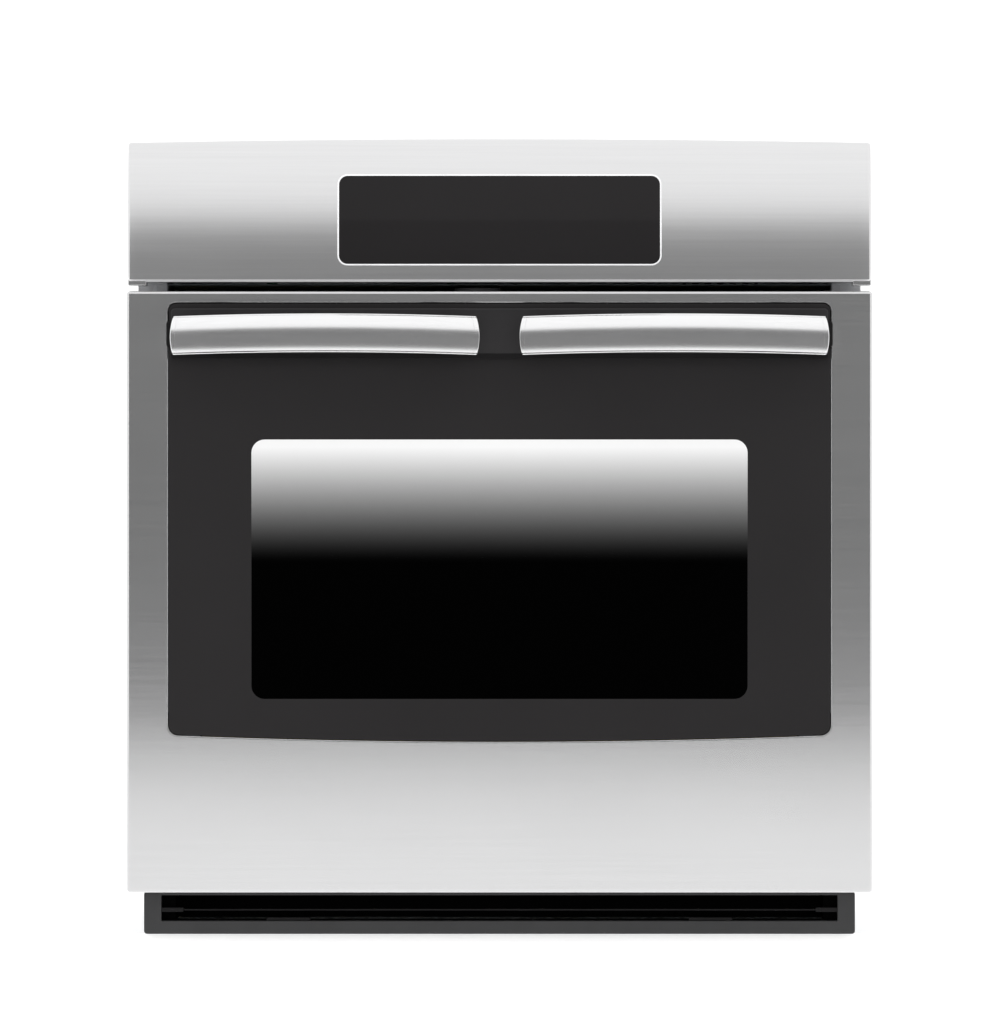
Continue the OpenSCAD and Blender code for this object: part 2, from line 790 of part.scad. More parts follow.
module latch_motor() color(trim_grey) in_oven() {
    z = latch_z + hook_t + 1.5;
    difference() {
        union() {
            at_latch(z + 1) cylinder(h = 15, r = 21);
            block([latch_x - motor_plate_x, frame_back, z], [latch_x + motor_plate_x, latch_y + 22, z + 1.5]);
            block([latch_x - motor_plate_x, frame_back, z - 6], [latch_x - 22, frame_back + 1.5, z + 1]);
        }
        at_latch(z - 1) cylinder(h = 12, r = shaft_r + pin_clearance);
    }
}

// the hook is a slice of a ring round its shaft, so it passes the slots without sweeping sideways
module latch_hook() color(chrome) in_oven() at_latch(latch_z) {
    tip_angle = -25;
    tail_angle = 60;
    far = 3 * hook_r1;
    difference() {
        linear_extrude(hook_t) {
            difference() {
                circle(hook_r1);
                circle(hook_r0);
                rotate(tail_angle) square([far, far]);
                rotate(90 + tail_angle) square([far, far]);
                rotate(180) square([far, far]);
                rotate(tip_angle - 90) square([far, far]);
            }
            rotate(tail_angle - 12) translate([0, -5]) square([hook_r0 + 2, 10]);
            circle(10);
        }
        translate([0, 0, -1]) cylinder(h = hook_t + 2, r = shaft_r);
    }
    cylinder(h = hook_t + 9, r = shaft_r);
}

module light_switch() color(black) in_oven() translate([switch_x, 0, switch_z]) difference() {
    half = 9;
    block([-half, frame_back, -switch_h / 2], [half, switch_back, switch_h / 2]);
    rod_y([0, frame_back - 1, 0], 30, plunger_r + pin_clearance);
}

module switch_plunger() color(chrome) in_oven()
    rod_y([switch_x, door_back + fit, switch_z], 32, plunger_r);

// ---------- door hinges ----------

// places hinge pieces, drawn round x = 0, on both sides of the oven
module at_hinges() both_sides() translate([hinge_x, 0, 0]) children();

module hinge_arms() color(galvanised) in_oven() at_hinges() difference() {
    union() {
        rod_x([-arm_t / 2, hinge_y, hinge_z], arm_t, eye_r);
        block([-arm_t / 2, hinge_y, hinge_z - 3.5], [arm_t / 2, 46, hinge_z + 3.5]);
        block([-arm_t / 2, 34, hinge_z + 3], [arm_t / 2, 46, hinge_z + 12]);
    }
    rod_x([-arm_t, hinge_y, hinge_z], 2 * arm_t, pin_r + pin_clearance);
}

module hinge_receivers() color(galvanised) in_oven() at_hinges() {
    wall = 1.5;
    in_x = arm_t / 2 + 0.4;
    base = hinge_z - 5;
    back = 52;
    both_sides() block([in_x, frame_back, base], [in_x + wall, back, hinge_z + 14]);
    block([-in_x, 2, base], [in_x, back, base + wall - 0.4]);
}

module hinge_channels() color(galvanised) in_oven() at_hinges() difference() {
    wall = 1.5;
    block([-channel_w / 2, door_front + 5.2, door_z0 + 2], [channel_w / 2, door_back - 1.6, channel_top]);
    block([-channel_w / 2 + wall, door_front + 5.2 + wall, door_z0 + 1],
        [channel_w / 2 - wall, door_back, channel_top - wall]);
    rod_x([-channel_w, hinge_y, hinge_z], 2 * channel_w, pin_r);
}

module hinge_pins() color(chrome) in_oven() at_hinges() {
    rod_x([-channel_w / 2, hinge_y, hinge_z], channel_w, pin_r);
}

// each closing spring with its hooks' end posts, inside its channel
module hinge_springs() color(chrome) in_oven() at_hinges() {
    y = door_front + 0.55 * door_t;
    foot = hinge_z + 24;
    coils = 22;
    pitch = (channel_top - foot - 14) / coils;
    rod_z([0, y, foot - 10], channel_top - foot + 8, 1.2);
    for (i = [0:coils - 1]) rod_z([0, y, foot + i * pitch], 0.7 * pitch, 4);
}

// ---------- door ----------

// the outer glass's outline: square at the top with its lower edge bowed down, drawn in x and z
module glass_outline(grow) {
    x = glass_x + grow;
    top = glass_z1 + grow;
    low_r = glass_foot_r + grow;
    top_r = glass_top_r + grow;
    shoulder_x = x - low_r;
    centre_z = glass_z0 - glass_sag - grow + sag_r;
    edge_z = centre_z - sqrt(pow(sag_r, 2) - pow(shoulder_x, 2));
    intersection() {
        translate([0, centre_z]) circle(sag_r, $fn = 1440);
        translate([-shoulder_x, glass_z0 - 2 * glass_sag]) square([2 * shoulder_x, top - glass_z0]);
    }
    translate([-x, edge_z + low_r]) square([2 * x, top - top_r - edge_z - low_r]);
    translate([-x + top_r, top - 3 * glass_sag]) square([2 * (x - top_r), 3 * glass_sag]);
    for (s = [-1, 1]) {
        translate([s * shoulder_x, edge_z + low_r]) circle(low_r);
        translate([s * (x - top_r), top - top_r]) circle(top_r);
    }
}

// the window's outline in the dark mask, and in the pieces behind it
module window_outline(grow) translate([0, window_z])
    rounded(window_w + 2 * grow, window_h + 2 * grow, window_r + grow / 2);

// the slots at the door's lower edge that the hinge arms come out of
module hinge_notches(half, y0) at_hinges()
    block([-half, y0, door_z0 - 2], [half, door_back + 2, hinge_z + eye_r + 2]);

module door_skin() color(stainless) in_oven() difference() {
    skin_r = 2.3;
    upright(door_front, door_back - 2) rounded_between(front_w, door_z0, door_z1, skin_r);
    upright(door_front + sheet, door_back)
        rounded_between(front_w - 2 * sheet, door_z0 + sheet, door_z1 - sheet, skin_r - sheet);
    upright(door_front - 1, door_front + 2 * sheet) glass_outline(0.5);
    hinge_notches(arm_t / 2 + 2, hinge_y - eye_r - 1.5);
}

module door_glass() color(black) in_oven() upright(glass_y, glass_y + glass_t) glass_outline(0);

module glass_mask() color(black) in_oven() upright(glass_y + glass_t, glass_y + glass_t + 0.4) difference() {
    glass_outline(-3);
    window_outline(0);
}

// strips behind the outer glass's edges that hold it in the steel
module glass_retainers() color(galvanised) in_oven() {
    y0 = door_front + sheet;
    y1 = glass_y + glass_t;
    lip = 12;
    both_sides() difference() {
        block([glass_x + 0.8, y0, glass_z0 + 20], [glass_x + lip + 2, y1 + 1.4, glass_z1 - 20]);
        block([glass_x + 2.2, y0 + 1.4, glass_z0], [glass_x + lip + 3, y1 + 3, glass_z1]);
    }
    both_sides() block([glass_x - 2.6, y1, glass_z0 + 20], [glass_x + 0.9, y1 + 1.4, glass_z1 - 20]);
}

module inner_panes() color(glass) in_oven() {
    upright(door_front + 0.46 * door_t, door_front + 0.46 * door_t + 4) window_outline(14);
    upright(door_back - 0.4, door_back + plug_t - 1.4) window_outline(12);
}

// the steel tube round the window that holds the middle pane between two lips
module window_frame() color(galvanised) in_oven() {
    y0 = glass_y + glass_t + 1.4;
    pane = door_front + 0.46 * door_t;
    upright(y0, door_back - 0.6) difference() {
        window_outline(16);
        window_outline(14.5);
    }
    for (y = [pane - 1.4, pane + 4.2]) upright(y, y + 1.2) difference() {
        window_outline(15);
        window_outline(8);
    }
}

// the enamelled inner panel: a flat rim that meets the gasket, and a raised plug round the window
module door_liner() color(enamel) in_oven() difference() {
    plug_x = cavity_x - plug_inset;
    plug_z0 = cavity_z0 + plug_inset;
    plug_z1 = cavity_z1 - plug_inset;
    skirt = 13;
    union() {
        upright(door_back - skirt, door_back) rounded_between(2 * liner_x, liner_z0, liner_z1, 6);
        upright(door_back - sheet, door_back + plug_t) rounded_between(2 * plug_x, plug_z0, plug_z1, 18);
    }
    upright(door_back - skirt - 1, door_back - sheet)
        rounded_between(2 * (liner_x - sheet), liner_z0 + sheet, liner_z1 - sheet, 5);
    upright(door_back - 2 * sheet, door_back + plug_t - sheet)
        rounded_between(2 * (plug_x - sheet), plug_z0 + sheet, plug_z1 - sheet, 17);
    upright(door_back - skirt, door_back + plug_t + 1) window_outline(4);
    latch_slot([5, 35], door_back - 2 * sheet, door_back + 1);
    hinge_notches(channel_w / 2 + fit, door_back - skirt - 1);
}

module door_insulation() color(wool) in_oven() upright(glass_y + glass_t + 3, door_back - 2) difference() {
    side = hinge_x - channel_w / 2 - 3;
    rounded_between(2 * side, hinge_z + 30, latch_z - 8, 10);
    window_outline(17);
}

module door_screws() color(chrome) in_oven() both_sides()
    for (z = [0.12, 0.5, 0.88] * door_h) translate([liner_x - 12, door_back, door_z0 + z])
        facing_back() screw_head(4, 1.7);

// ---------- handles ----------

// a grip's section in y and z, its front bowed and its back flat, with the front at y = 0
module grip_section(inset) {
    nose_r = 41;
    nose_drop = 2;
    corner = 5;
    intersection() {
        translate([nose_r + inset, -nose_drop]) circle(nose_r);
        translate([(grip_t + inset) / 2, 0]) rounded(grip_t - inset, grip_h - 2 * inset, corner);
    }
}

// places a right-hand grip's pieces round its own middle, with its bow's centre at the origin
module at_grip() translate([grip_mid_x, -handle_reach + grip_r, grip_z]) children();

module grip() at_grip() rotate_extrude(angle = grip_angle, start = 270 - grip_angle / 2, $fn = 360)
    mirror([1, 0]) translate([-grip_r, 0]) grip_section(0);

module right_handle() color(stainless) in_oven() grip();

module left_handle() color(stainless) in_oven() mirror([1, 0, 0]) grip();

// the rounded caps in both ends of both grips
module handle_end_caps() color(chrome) in_oven() both_sides() at_grip() intersection() {
    seam = 0.005;
    inner = grip_angle / 2 + seam;
    outer = asin((grip_len / 2 + 1) / grip_r);
    round_r = 50;
    for (s = [-1, 1]) rotate(270 + s * (inner + outer) / 2)
        rotate_extrude(angle = outer - inner, start = (inner - outer) / 2, $fn = 360)
            mirror([1, 0]) translate([-grip_r, 0]) grip_section(0.6);
    rotate([90, 0, 0]) translate([0, 0, grip_r / 2]) intersection_for(s = [-1, 1])
        translate([s * round_r, 0, 0]) cylinder(h = grip_r, r = grip_len / 2 + round_r);
}

// the posts that hold the grips off the rail
module handle_posts() color(black) in_oven() both_sides() intersection() {
    y0 = grip_t - handle_reach;
    y1 = glass_y - rail_depth;
    for (s = [-1, 1]) rod_y([grip_mid_x + s * post_dx, y0, grip_z], y1 - y0, post_r);
    at_grip() translate([0, 0, -2 * post_r]) cylinder(h = 4 * post_r, r = grip_r - grip_t - eps, $fn = 360);
}

// the dark rail across the top of the glass that carries both grips
module handle_rail() color(black) in_oven() {
    rail_x = glass_x - 1;
    upright(glass_y - rail_depth, glass_y) translate([0, handle_rail_z0 + handle_rail_h / 2])
        rounded(2 * rail_x, handle_rail_h, 4);
    both_sides() block([rail_x - 6, glass_y - rail_depth + 1, grip_z - 12],
        [rail_x + 3, door_front - fit, grip_z + 12]);
}

// ---------- fasteners ----------

module case_screws() color(chrome) in_oven() both_sides() {
    for (z = [0.2, 0.5, 0.8] * case_z1) translate([case_x, case_depth - 14, z]) facing_out() screw_head();
    for (z = [0.16, 0.5, 0.84] * case_z1) translate([case_x + rail_t, 14, z]) facing_out() screw_head();
    for (z = [0.1, 0.45, 0.9] * case_z1) translate([0.9 * case_x, case_depth, z]) facing_back() screw_head();
    for (y = [0.08, 0.6, 0.95] * case_depth) translate([0.92 * case_x, y, case_z1]) screw_head();
}

case_base();
left_side_panel();
right_side_panel();
top_cover();
rear_cover();
base_runners();
mounting_rails();
front_frame();
cavity_liner();
cavity_insulation();
door_gasket();
bake_element();
broil_element();
lamp_housing();
lamp_bulb();
lamp_cover();
temperature_sensor();
rack_guides();
upper_rack();
lower_rack();
vent_trim();
vent_blade();
control_fascia();
panel_end_caps();
display_glass();
display_trim();
display_board();
panel_backplate();
compartment_floor();
relay_board();
blower_housing();
blower_wheel();
blower_motor();
latch_motor();
latch_hook();
light_switch();
switch_plunger();
thermal_cutout();
terminal_block();
conduit_gland();
hinge_arms();
hinge_receivers();
case_screws();
door_skin();
door_glass();
glass_mask();
glass_retainers();
inner_panes();
window_frame();
door_liner();
door_insulation();
left_handle();
right_handle();
handle_end_caps();
handle_posts();
handle_rail();
hinge_channels();
hinge_pins();
hinge_springs();
door_screws();
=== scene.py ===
"""A built-in electric wall oven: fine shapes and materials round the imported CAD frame, in a plain studio.

Everything is in metres in the frame's own axes: +Z up, the oven's front faces -Y.
"""

import math

import bmesh
import bpy
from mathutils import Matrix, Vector


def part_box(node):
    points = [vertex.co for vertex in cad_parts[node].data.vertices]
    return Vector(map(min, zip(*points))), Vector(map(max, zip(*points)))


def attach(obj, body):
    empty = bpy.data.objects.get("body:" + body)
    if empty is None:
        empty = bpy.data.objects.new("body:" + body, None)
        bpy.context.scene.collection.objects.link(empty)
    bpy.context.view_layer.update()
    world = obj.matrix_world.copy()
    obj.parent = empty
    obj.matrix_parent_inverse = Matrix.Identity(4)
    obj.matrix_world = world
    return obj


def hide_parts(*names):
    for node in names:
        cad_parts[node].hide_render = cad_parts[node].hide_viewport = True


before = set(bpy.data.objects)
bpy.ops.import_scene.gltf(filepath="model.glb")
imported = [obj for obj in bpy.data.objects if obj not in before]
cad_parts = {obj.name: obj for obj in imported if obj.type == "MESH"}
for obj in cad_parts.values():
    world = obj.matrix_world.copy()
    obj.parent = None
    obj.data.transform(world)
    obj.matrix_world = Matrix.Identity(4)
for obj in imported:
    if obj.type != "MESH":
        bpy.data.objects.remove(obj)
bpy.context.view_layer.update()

MM = 0.001
SHEET = 1.2 * MM  # front sheet steel
BEVEL = 0.5 * MM  # the edge round of pressed and cut metal
SUPPORT = 0.4 * MM  # a ring this far in from an edge round keeps the face beyond it flat


# ---------- node materials ----------


class Material:
    """A node material that starts as one Principled shader with its constants on its own sockets."""

    def __init__(self, name, color, rough, metallic=0.0, **sockets):
        self.data = bpy.data.materials.new(name)
        self.data.use_nodes = True
        self.tree = self.data.node_tree
        self.shader = self.tree.nodes["Principled BSDF"]
        self.set("Base Color", (*color, 1.0))
        self.set("Roughness", rough)
        self.set("Metallic", metallic)
        for socket, value in sockets.items():
            self.set(socket.replace("_", " "), value)

    def set(self, socket, value):
        self.shader.inputs[socket].default_value = value

    def feed(self, socket, output):
        self.tree.links.new(output, self.shader.inputs[socket])

    def node(self, kind, links=None, **values):
        """Adds a node, sets its properties or sockets by name, and links its inputs."""
        made = self.tree.nodes.new(kind)
        for name, value in values.items():
            if hasattr(made, name):
                setattr(made, name, value)
            else:
                made.inputs[name.replace("_", " ")].default_value = value
        for name, output in (links or {}).items():
            self.tree.links.new(output, made.inputs[name])
        return made

    def place(self, scale=(1, 1, 1)):
        """The object's own coordinates, stretched."""
        coords = self.node("ShaderNodeTexCoord").outputs["Object"]
        return self.node("ShaderNodeMapping", {"Vector": coords}, Scale=scale).outputs[0]

    def noise(self, scale, detail=4.0, distortion=0.0):
        """Fractal noise whose three scales are in cycles per metre."""
        made = self.node("ShaderNodeTexNoise", {"Vector": self.place(scale)}, Scale=1.0,
                         Detail=detail, Roughness=0.6, Distortion=distortion)
        return made.outputs["Fac"]

    def cells(self, scale):
        """A Voronoi texture of that many cells per metre."""
        coords = self.place((scale,) * 3)
        return self.node("ShaderNodeTexVoronoi", {"Vector": coords}, Scale=1.0, Randomness=1.0)

    def math(self, operation, first, second):
        """One arithmetic node. second is another output or a number."""
        links = {0: first}
        if not isinstance(second, (int, float)):
            links[1] = second
        made = self.node("ShaderNodeMath", links, operation=operation)
        if isinstance(second, (int, float)):
            made.inputs[1].default_value = second
        return made.outputs[0]

    def spread(self, value, low, high, start=0.3, end=0.7):
        """Maps a texture's middle range to two limits."""
        made = self.node("ShaderNodeMapRange", {"Value": value}, From_Min=start, From_Max=end,
                         To_Min=low, To_Max=high)
        return made.outputs["Result"]

    def ramp(self, value, *stops):
        """Colours a value: each stop is (position, grey or colour)."""
        made = self.node("ShaderNodeValToRGB", {"Fac": value})
        elements = made.color_ramp.elements
        while len(elements) < len(stops):
            elements.new(0.5)
        for element, (position, color) in zip(elements, stops):
            element.position = position
            shade = color if isinstance(color, tuple) else (color,) * 3
            element.color = (*shade, 1.0)
        return made.outputs["Color"]

    def bump(self, height, depth, under=None):
        """Raises the surface by a texture, on top of another bump if one is given."""
        links = {"Height": height}
        if under is not None:
            links["Normal"] = under
        made = self.node("ShaderNodeBump", links, Strength=1.0, Distance=depth)
        self.feed("Normal", made.outputs["Normal"])
        return made.outputs["Normal"]


def times(color, factor):
    """A colour made darker or lighter, up to white."""
    return tuple(min(1, c * factor) for c in color)


def brushed_steel(name, color, rough, grain):
    """Stainless steel brushed along X, with long faint streaks and softer wiped patches."""
    mat = Material(name, color, rough, metallic=1.0)
    fine = mat.noise((14, 2600, 2600), detail=3)
    streak = mat.noise((5, 420, 420), detail=4)
    patch = mat.noise((7, 9, 9), detail=3)
    mat.feed("Base Color", mat.ramp(streak, (0.30, times(color, 0.975)), (0.70, times(color, 1.02))))
    wear = mat.node("ShaderNodeMix", {"A": mat.spread(streak, rough - 0.02, rough + 0.02),
                                      "B": mat.spread(patch, rough - 0.01, rough + 0.02)}, Factor=0.5)
    mat.feed("Roughness", wear.outputs[0])
    depth = 0.006 * MM * grain
    mat.bump(streak, depth, under=mat.bump(fine, depth))
    return mat.data


def zinc_sheet(name, color):
    """Galvanised sheet: crystalline spangle, some grains duller than others, on faintly wavy sheet."""
    mat = Material(name, color, 0.42, metallic=0.9)
    grains = mat.cells(140).outputs["Color"]
    tint = mat.node("ShaderNodeSeparateColor", {"Color": grains}).outputs["Red"]
    mat.feed("Base Color", mat.ramp(tint, (0.0, times(color, 0.88)), (1.0, times(color, 1.08))))
    mat.feed("Roughness", mat.spread(tint, 0.38, 0.50, 0, 1))
    under = mat.bump(tint, 0.015 * MM)
    mat.bump(mat.noise((25, 25, 25), detail=3), 0.3 * MM, under=under)
    return mat.data


def enamel(name):
    """Dark blue-black porcelain enamel with fine pale specks and an orange-peel gloss."""
    ground = (0.012, 0.014, 0.022)
    mat = Material(name, ground, 0.16, Coat_Weight=0.4, Coat_Roughness=0.06)
    cells = mat.cells(420)
    pick = mat.node("ShaderNodeSeparateColor", {"Color": cells.outputs["Color"]}).outputs["Green"]
    dot_size = 0.22  # as a share of its cell
    plain_share = 0.62  # of the cells have no dot
    dot = mat.math("LESS_THAN", cells.outputs["Distance"], dot_size)
    chosen = mat.math("GREATER_THAN", pick, plain_share)
    speck = mat.math("MULTIPLY", dot, chosen)
    mat.feed("Base Color", mat.ramp(speck, (0.0, ground), (1.0, (0.33, 0.36, 0.42))))
    mat.feed("Roughness", mat.spread(mat.noise((30, 30, 30)), 0.12, 0.24))
    mat.bump(mat.noise((260, 260, 260), detail=2), 0.02 * MM)
    return mat.data


def chrome_wire(name):
    """Bright chrome with faint drawing lines and a little heat yellowing."""
    color = (0.74, 0.74, 0.75)
    mat = Material(name, color, 0.14, metallic=1.0)
    heat = mat.noise((12, 12, 12), detail=3)
    mat.feed("Base Color", mat.ramp(heat, (0.35, color), (0.75, (0.72, 0.69, 0.63))))
    mat.feed("Roughness", mat.spread(mat.noise((120, 120, 120)), 0.10, 0.22))
    mat.bump(mat.noise((900, 900, 900), detail=2), 0.006 * MM)
    return mat.data


def satin_paint(name, color, rough, grain=0.02, specular=0.5):
    """Sprayed paint with a fine texture, soft dust in its sheen and faint tone changes."""
    mat = Material(name, color, rough, Specular_IOR_Level=specular)
    tone = mat.noise((18, 18, 18), detail=3)
    mat.feed("Base Color", mat.ramp(tone, (0.3, times(color, 0.9)), (0.7, times(color, 1.1))))
    mat.feed("Roughness", mat.spread(mat.noise((60, 60, 60)), rough - 0.05, rough + 0.07))
    mat.bump(mat.noise((1500, 1500, 1500), detail=2), grain * MM)
    return mat.data


def black_glass(name, color, specular):
    """Polished black glass with a trace of smears in its gloss."""
    mat = Material(name, color, 0.06, Specular_IOR_Level=specular)
    smear = mat.noise((16, 16, 7), detail=5, distortion=0.6)
    mat.feed("Roughness", mat.spread(smear, 0.045, 0.085))
    tone = mat.noise((5, 5, 5), detail=2)
    mat.feed("Base Color", mat.ramp(tone, (0.3, times(color, 0.94)), (0.7, times(color, 1.04))))
    mat.bump(mat.noise((9, 9, 9), detail=1), 0.01 * MM)
    return mat.data


def painted_window_reflection(name, low_z, high_z):
    """The window's painted reflection: a pale grade painted into its colour along its upper edge, fading by
    height to clear black below.
    """
    mat = Material(name, (0.0, 0.0, 0.0), 0.05, Specular_IOR_Level=0.05)
    height = mat.node("ShaderNodeSeparateXYZ", {"Vector": mat.place()}).outputs["Z"]
    tall = high_z - low_z
    fade_foot = low_z + 0.52 * tall
    fade_head = low_z + 0.97 * tall
    steepness = 2.2
    # how pale the painted reflection is at the window's top edge
    reflection_grey = 0.72
    rise = mat.spread(height, 0.0, 1.0, fade_foot, fade_head)
    fade = mat.math("POWER", rise, steepness)
    # the window's colour carries a painted reflection, pale at the top and black below
    mat.feed("Base Color", mat.ramp(fade, (0.0, 0.0), (1.0, reflection_grey)))
    mat.feed("Roughness", mat.spread(mat.noise((16, 16, 7), detail=5, distortion=0.6), 0.04, 0.08))
    return mat.data


def clear_glass(name):
    """Thin clear glass with faint wiping marks."""
    mat = Material(name, (0.93, 0.96, 0.95), 0.02, Transmission_Weight=1.0, IOR=1.5)
    mat.feed("Roughness", mat.spread(mat.noise((20, 20, 8), detail=5, distortion=0.5), 0.01, 0.05))
    return mat.data


def woven_braid(name):
    """The gasket's woven glass sleeve: a fine two-way weave in dark grey."""
    mat = Material(name, (0.06, 0.06, 0.062), 0.85, Sheen_Weight=0.3)

    def strands(lean):
        wave = mat.node("ShaderNodeTexWave", {"Vector": mat.place((1, 1, lean))}, wave_type="BANDS",
                        bands_direction="DIAGONAL", Scale=190.0, Distortion=1.2, Detail=2.0)
        return wave.outputs["Fac"]

    weave = mat.math("MULTIPLY", strands(1), strands(-1))
    mat.feed("Base Color", mat.ramp(weave, (0.0, 0.025), (1.0, 0.12)))
    mat.bump(weave, 0.5 * MM)
    return mat.data


def glass_wool(name):
    """Yellow glass wool: matted fibres in soft layers."""
    mat = Material(name, (0.62, 0.50, 0.22), 0.95, Sheen_Weight=0.5)
    fibre = mat.noise((700, 90, 700), detail=6, distortion=1.5)
    clump = mat.noise((40, 40, 90), detail=4)
    mat.feed("Base Color", mat.ramp(fibre, (0.3, (0.42, 0.32, 0.12)), (0.7, (0.78, 0.66, 0.36))))
    under = mat.bump(fibre, 0.8 * MM)
    mat.bump(clump, 3 * MM, under=under)
    return mat.data


def element_sheath(name):
    """A heating element's oxidised sheath: near black with brown and blue heat tints."""
    mat = Material(name, (0.05, 0.045, 0.045), 0.5, metallic=0.7)
    heat = mat.noise((22, 22, 22), detail=4)
    mat.feed("Base Color", mat.ramp(heat, (0.3, (0.028, 0.027, 0.03)), (0.55, (0.07, 0.055, 0.05)),
                                    (0.75, (0.05, 0.055, 0.075))))
    mat.feed("Roughness", mat.spread(heat, 0.42, 0.62))
    mat.bump(mat.noise((1100, 1100, 1100)), 0.03 * MM)
    return mat.data


def board_lacquer(name):
    """A circuit board's green lacquer over faint tracks."""
    mat = Material(name, (0.02, 0.11, 0.05), 0.35, Coat_Weight=0.3)
    track = mat.node("ShaderNodeTexBrick", {"Vector": mat.place((90, 90, 90))}, Scale=1.0, Mortar_Size=0.03)
    lines = track.outputs["Fac"]
    mat.feed("Base Color", mat.ramp(lines, (0.0, (0.018, 0.10, 0.045)), (1.0, (0.05, 0.22, 0.10))))
    mat.bump(lines, 0.05 * MM)
    return mat.data


# ---------- outlines, drawn in x and z ----------

ARC_STEPS = 10
SIDE_STEPS = 24
TINY = 1e-6


def quarter(centre, radius, start):
    """Points on a quarter turn, from an angle in quarters of a turn, clockwise."""
    points = []
    for i in range(ARC_STEPS + 1):
        a = math.pi / 2 * (start - i / ARC_STEPS)
        points.append((centre[0] + radius * math.cos(a), centre[1] + radius * math.sin(a)))
    return points


def joined(corners):
    """A closed outline through four corner arcs, with even steps on the straight sides between them."""
    outline = []
    for corner, following in zip(corners, corners[1:] + corners[:1]):
        outline += corner
        (x0, z0), (x1, z1) = corner[-1], following[0]
        for i in range(1, SIDE_STEPS):
            t = i / SIDE_STEPS
            outline.append((x0 + (x1 - x0) * t, z0 + (z1 - z0) * t))
    return outline


def rounded_outline(x0, x1, z0, z1, radius, grow):
    """A rectangle with round corners, clockwise from its upper left corner, moved outwards by grow."""
    r = max(radius + grow, 0.05 * MM)
    x0, x1, z0, z1 = x0 - grow + r, x1 + grow - r, z0 - grow + r, z1 + grow - r
    return joined([quarter((x0, z1), r, 2), quarter((x1, z1), r, 1), quarter((x1, z0), r, 0),
                   quarter((x0, z0), r, -1)])


def bowed_outline(x0, x1, z0, z1, top_r, foot_r, sag, grow):
    """The door glass's outline: round corners and a lower edge that bows down to z0 in the middle."""
    half = (x1 - x0) / 2
    bow_r = (half**2 + sag**2) / (2 * sag)
    top, foot = top_r + grow, foot_r + grow
    left, right = x0 - grow, x1 + grow
    shoulder = half + grow - foot

    def edge_z(x):
        return z0 - grow + bow_r - math.sqrt(bow_r**2 - x**2)

    foot_z = edge_z(shoulder) + foot
    head_z = z1 + grow - top
    outline = joined([quarter((left + top, head_z), top, 2), quarter((right - top, head_z), top, 1),
                      quarter((right - foot, foot_z), foot, 0), quarter((left + foot, foot_z), foot, -1)])
    middle = (x0 + x1) / 2

    def on_edge(x, z):
        return abs(z - foot_z + foot) < TINY and abs(x - middle) < shoulder - TINY

    return [(x, edge_z(x - middle) if on_edge(x, z) else z) for x, z in outline]


# ---------- mesh building ----------

CRISP_DEGREES = 35  # edges sharper than this keep a crisp shade
FLAT_DEGREES = 0.5  # CAD facets flatter than this are merged
ROUND_DEGREES = 40  # CAD edges sharper than this are rounded
WELD = 0.002 * MM


def new_piece(name, mesh_data, body, material, slot, replaces=()):
    """Puts a finished bmesh into the scene as a piece of a body."""
    mesh = bpy.data.meshes.new(name)
    bmesh.ops.recalc_face_normals(mesh_data, faces=mesh_data.faces)
    mesh_data.to_mesh(mesh)
    mesh_data.free()
    piece = bpy.data.objects.new(name, mesh)
    bpy.context.scene.collection.objects.link(piece)
    for mat in material if isinstance(material, (list, tuple)) else [material]:
        mesh.materials.append(mat)
    smooth_by_angle(piece)
    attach(piece, body)
    if replaces:
        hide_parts(*replaces)


def smooth_by_angle(piece):
    """Smooth shading, with sharp edges kept crisp."""
    mesh = piece.data
    mesh.polygons.foreach_set("use_smooth", [True] * len(mesh.polygons))
    mesh.set_sharp_from_angle(angle=math.radians(CRISP_DEGREES))


def loft(data, rings, closed=True, cap_first=False, cap_last=False):
    """Joins rings of equal length with quads; a ring is a list of points."""
    rows = [[data.verts.new(p) for p in ring] for ring in rings]
    count = len(rows[0])
    for a, b in zip(rows, rows[1:]):
        for i in range(count if closed else count - 1):
            j = (i + 1) % count
            data.faces.new((a[i], a[j], b[j], b[i]))
    if cap_first:
        data.faces.new(rows[0])
    if cap_last:
        data.faces.new(list(reversed(rows[-1])))
    return rows


def at_depth(outline, y):
    """An x and z outline as points at one depth."""
    return [Vector((x, y, z)) for x, z in outline]


def edge_round(radius, steps=3):
    """Offsets round a convex edge, as (inset across the face, drop behind it), from the side to the face."""
    turns = [math.pi / 2 * i / steps for i in range(steps + 1)]
    return [(radius * (1 - math.cos(t)), radius * (1 - math.sin(t))) for t in turns]


def plate_rings(outline, front, back, radius, outward=True):
    """Rings for one wall of a plate: from its back edge, over a rounded front edge, onto its face."""
    sign = -1 if outward else 1
    rings = [at_depth(outline(0.0), back)]
    for inset, drop in edge_round(radius):
        rings.append(at_depth(outline(sign * inset), front + drop))
    rings.append(at_depth(outline(sign * (radius + SUPPORT)), front))
    return rings


def ring_plate(name, outer, inner, front, back, radius, lip, body, material, **kw):
    """A plate with an opening, its edges rounded by radius outside and by lip round the opening."""
    data = bmesh.new()
    rings = plate_rings(outer, front, back, radius)
    rings += list(reversed(plate_rings(inner, front, back, lip, outward=False)))
    loft(data, rings + [rings[0]])
    bmesh.ops.remove_doubles(data, verts=data.verts, dist=1e-7)
    new_piece(name, data, body, material, **kw)


def solid_plate(name, outline, front, back, radius, body, material, **kw):
    """A closed plate with a rounded front edge and a small chamfer behind."""
    data = bmesh.new()
    chamfer = 0.3 * radius
    rings = [at_depth(outline(-chamfer), back)] + plate_rings(outline, front, back - chamfer, radius)
    loft(data, rings, cap_first=True, cap_last=True)
    new_piece(name, data, body, material, **kw)


